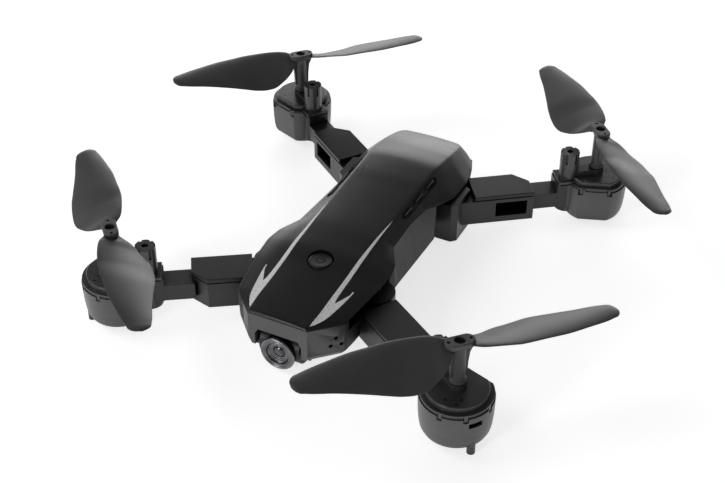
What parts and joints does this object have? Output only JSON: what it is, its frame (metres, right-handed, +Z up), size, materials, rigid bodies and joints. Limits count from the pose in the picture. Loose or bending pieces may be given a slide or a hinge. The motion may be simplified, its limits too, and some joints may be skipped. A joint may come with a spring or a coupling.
{
  "type": "mini palm drone",
  "caption": "Foldable palm-sized camera quadcopter with hinged arms, geared propellers, a tilting nose camera, a press button and a slide-out battery.",
  "frame": {"origin": "on the symmetry plane, midway between the front and rear propeller axes, in the plane the four feet stand on", "axes": "+Z up, -Y towards the nose and its camera, +X towards the drone's own left side"},
  "size_m": [0.2087, 0.216, 0.039],
  "materials": {
    "shell": "satin black injection-moulded plastic, metallic silver printed stripes along the edges of the top plate",
    "shell_lower": "fine-textured black moulded plastic",
    "fascia": "satin charcoal moulded plastic",
    "arm": "satin black moulded plastic",
    "arm_cover": "satin black moulded plastic, smoother than the arm",
    "pod_cap": "satin dark grey moulded plastic",
    "propeller": "slightly flexible dark grey moulded plastic",
    "motor_can": "drawn steel can of a small brushed motor",
    "hardware": "zinc-plated steel, dulled",
    "screw_black": "black-oxide steel",
    "gear": "natural white nylon",
    "brass": "turned brass",
    "board": "solder-masked circuit board with black components",
    "switch": "stamped steel cover over a black base",
    "button": "satin plastic with a pale printed ring",
    "battery": "textured hard battery case",
    "camera_body": "satin black moulded plastic",
    "lens_ring": "dark anodised ring",
    "lens_glass": "coated dark glass",
    "light_lens": "milky translucent light cover"
  },
  "bodies": {
    "airframe": {"top_shell": "shell", "lower_shell": "shell_lower", "nose_fascia": "fascia", "main_board": "board", "tact_switch": "switch", "bottom_camera": "lens_glass", "shell_screws": "screw_black", "hinge_pins": "hardware"},
    "camera": {"camera_housing": "camera_body", "camera_lens_ring": "lens_ring", "camera_lens": "lens_glass"},
    "button": {"power_button": "button"},
    "battery": {"battery_pack": "battery"},
    "front_left_arm_body": {"front_left_arm": "arm", "front_left_arm_cover": "arm_cover", "front_left_pod_cap": "pod_cap", "front_left_motor": "motor_can", "front_left_bushes": "brass", "front_left_light_lens": "light_lens"},
    "front_left_pinion_body": {"front_left_pinion": "brass"},
    "front_left_rotor": {"front_left_gear": "gear", "front_left_shaft": "hardware", "front_left_propeller": "propeller", "front_left_propeller_screw": "screw_black"},
    "front_right_arm_body": {"front_right_arm": "arm", "front_right_arm_cover": "arm_cover", "front_right_pod_cap": "pod_cap", "front_right_motor": "motor_can", "front_right_bushes": "brass", "front_right_light_lens": "light_lens"},
    "front_right_pinion_body": {"front_right_pinion": "brass"},
    "front_right_rotor": {"front_right_gear": "gear", "front_right_shaft": "hardware", "front_right_propeller": "propeller", "front_right_propeller_screw": "screw_black"},
    "rear_left_arm_body": {"rear_left_arm": "arm", "rear_left_arm_cover": "arm_cover", "rear_left_pod_cap": "pod_cap", "rear_left_motor": "motor_can", "rear_left_bushes": "brass", "rear_left_light_lens": "light_lens"},
    "rear_left_pinion_body": {"rear_left_pinion": "brass"},
    "rear_left_rotor": {"rear_left_gear": "gear", "rear_left_shaft": "hardware", "rear_left_propeller": "propeller", "rear_left_propeller_screw": "screw_black"},
    "rear_right_arm_body": {"rear_right_arm": "arm", "rear_right_arm_cover": "arm_cover", "rear_right_pod_cap": "pod_cap", "rear_right_motor": "motor_can", "rear_right_bushes": "brass", "rear_right_light_lens": "light_lens"},
    "rear_right_pinion_body": {"rear_right_pinion": "brass"},
    "rear_right_rotor": {"rear_right_gear": "gear", "rear_right_shaft": "hardware", "rear_right_propeller": "propeller", "rear_right_propeller_screw": "screw_black"}
  },
  "joints": [
    {"name": "camera_tilt", "type": "hinge", "parent": "airframe", "child": "camera", "pos_m": [0, -0.0616, 0.0086], "axis": [1, 0, 0], "range_deg": [0, 30]},
    {"name": "power_press", "type": "slide", "parent": "airframe", "child": "button", "axis": [0, 0, -1], "range_m": [0, 0.0006]},
    {"name": "battery_slide", "type": "slide", "parent": "airframe", "child": "battery", "axis": [0, 1, 0], "range_m": [0, 0.06]},
    {"name": "front_left_fold", "type": "hinge", "parent": "airframe", "child": "front_left_arm_body", "pos_m": [0.0207, -0.035, 0.012], "axis": [0, 0, 1], "range_deg": [0, 107]},
    {"name": "front_left_motor_spin", "type": "hinge", "parent": "front_left_arm_body", "child": "front_left_pinion_body", "pos_m": [0.05577, -0.06161, 0.0075], "axis": [0, 0, 1], "continuous": true},
    {"name": "front_left_propeller_spin", "type": "hinge", "parent": "front_left_arm_body", "child": "front_left_rotor", "pos_m": [0.065, -0.0676, 0.0075], "axis": [0, 0, 1], "continuous": true},
    {"name": "front_right_fold", "type": "hinge", "parent": "airframe", "child": "front_right_arm_body", "pos_m": [-0.0207, -0.035, 0.012], "axis": [0, 0, 1], "range_deg": [-107, 0]},
    {"name": "front_right_motor_spin", "type": "hinge", "parent": "front_right_arm_body", "child": "front_right_pinion_body", "pos_m": [-0.05577, -0.06161, 0.0075], "axis": [0, 0, 1], "continuous": true},
    {"name": "front_right_propeller_spin", "type": "hinge", "parent": "front_right_arm_body", "child": "front_right_rotor", "pos_m": [-0.065, -0.0676, 0.0075], "axis": [0, 0, 1], "continuous": true},
    {"name": "rear_left_fold", "type": "hinge", "parent": "airframe", "child": "rear_left_arm_body", "pos_m": [0.0205, 0.031, 0.012], "axis": [0, 0, 1], "range_deg": [-110, 0]},
    {"name": "rear_left_motor_spin", "type": "hinge", "parent": "rear_left_arm_body", "child": "rear_left_pinion_body", "pos_m": [0.0561, 0.06113, 0.0075], "axis": [0, 0, 1], "continuous": true},
    {"name": "rear_left_propeller_spin", "type": "hinge", "parent": "rear_left_arm_body", "child": "rear_left_rotor", "pos_m": [0.065, 0.0676, 0.0075], "axis": [0, 0, 1], "continuous": true},
    {"name": "rear_right_fold", "type": "hinge", "parent": "airframe", "child": "rear_right_arm_body", "pos_m": [-0.0205, 0.031, 0.012], "axis": [0, 0, 1], "range_deg": [0, 110]},
    {"name": "rear_right_motor_spin", "type": "hinge", "parent": "rear_right_arm_body", "child": "rear_right_pinion_body", "pos_m": [-0.0561, 0.06113, 0.0075], "axis": [0, 0, 1], "continuous": true},
    {"name": "rear_right_propeller_spin", "type": "hinge", "parent": "rear_right_arm_body", "child": "rear_right_rotor", "pos_m": [-0.065, 0.0676, 0.0075], "axis": [0, 0, 1], "continuous": true}
  ],
  "couplings": [
    {"joint": "front_left_propeller_spin", "follows": "front_left_motor_spin", "ratio": -0.29412},
    {"joint": "front_right_propeller_spin", "follows": "front_right_motor_spin", "ratio": -0.29412},
    {"joint": "rear_left_propeller_spin", "follows": "rear_left_motor_spin", "ratio": -0.29412},
    {"joint": "rear_right_propeller_spin", "follows": "rear_right_motor_spin", "ratio": -0.29412}
  ]
}
